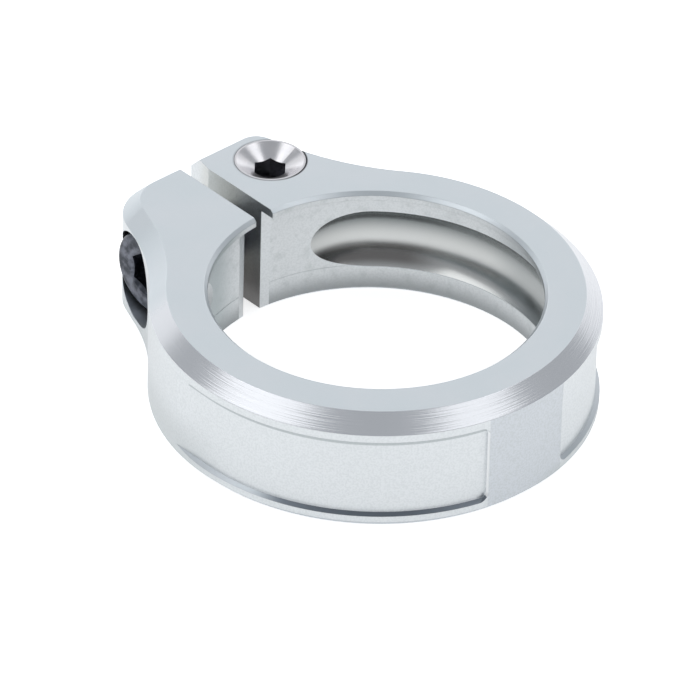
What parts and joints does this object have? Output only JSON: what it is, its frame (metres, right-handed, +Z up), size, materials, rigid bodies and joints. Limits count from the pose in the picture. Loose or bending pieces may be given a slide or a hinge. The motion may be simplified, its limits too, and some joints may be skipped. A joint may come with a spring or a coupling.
{
  "type": "seatpost clamp",
  "caption": "Split collar with a stop lip, two offset ears, a cross bolt and a barrel nut; it closes the top of a frame tube round a seatpost.",
  "frame": {"origin": "on the axis of the tube bore, at the bottom face of the collar", "axes": "+Z up along the tube axis, away from the frame tube; +Y from the axis towards the ears and the slot; +X from the bolt head towards the barrel nut"},
  "size_m": [0.0436, 0.0508, 0.0124],
  "materials": {
    "anodised_collar": "bead-blasted and clear anodised, turned top chamfer",
    "black_bolt": "black oxide, satin",
    "steel_nut": "turned, bright"
  },
  "bodies": {
    "collar": {"collar": "anodised_collar"},
    "nut": {"barrel_nut": "steel_nut"},
    "bolt": {"clamp_bolt": "black_bolt"}
  },
  "joints": [
    {"name": "nut_turn", "type": "hinge", "parent": "collar", "child": "nut", "pos_m": [0.0067, 0.0229, 0.006], "axis": [0, 0, 1], "range_deg": [-0.9, 0.9]},
    {"name": "bolt_turn", "type": "hinge", "parent": "nut", "child": "bolt", "pos_m": [0, 0.0229, 0.006], "axis": [1, 0, 0], "continuous": true}
  ]
}
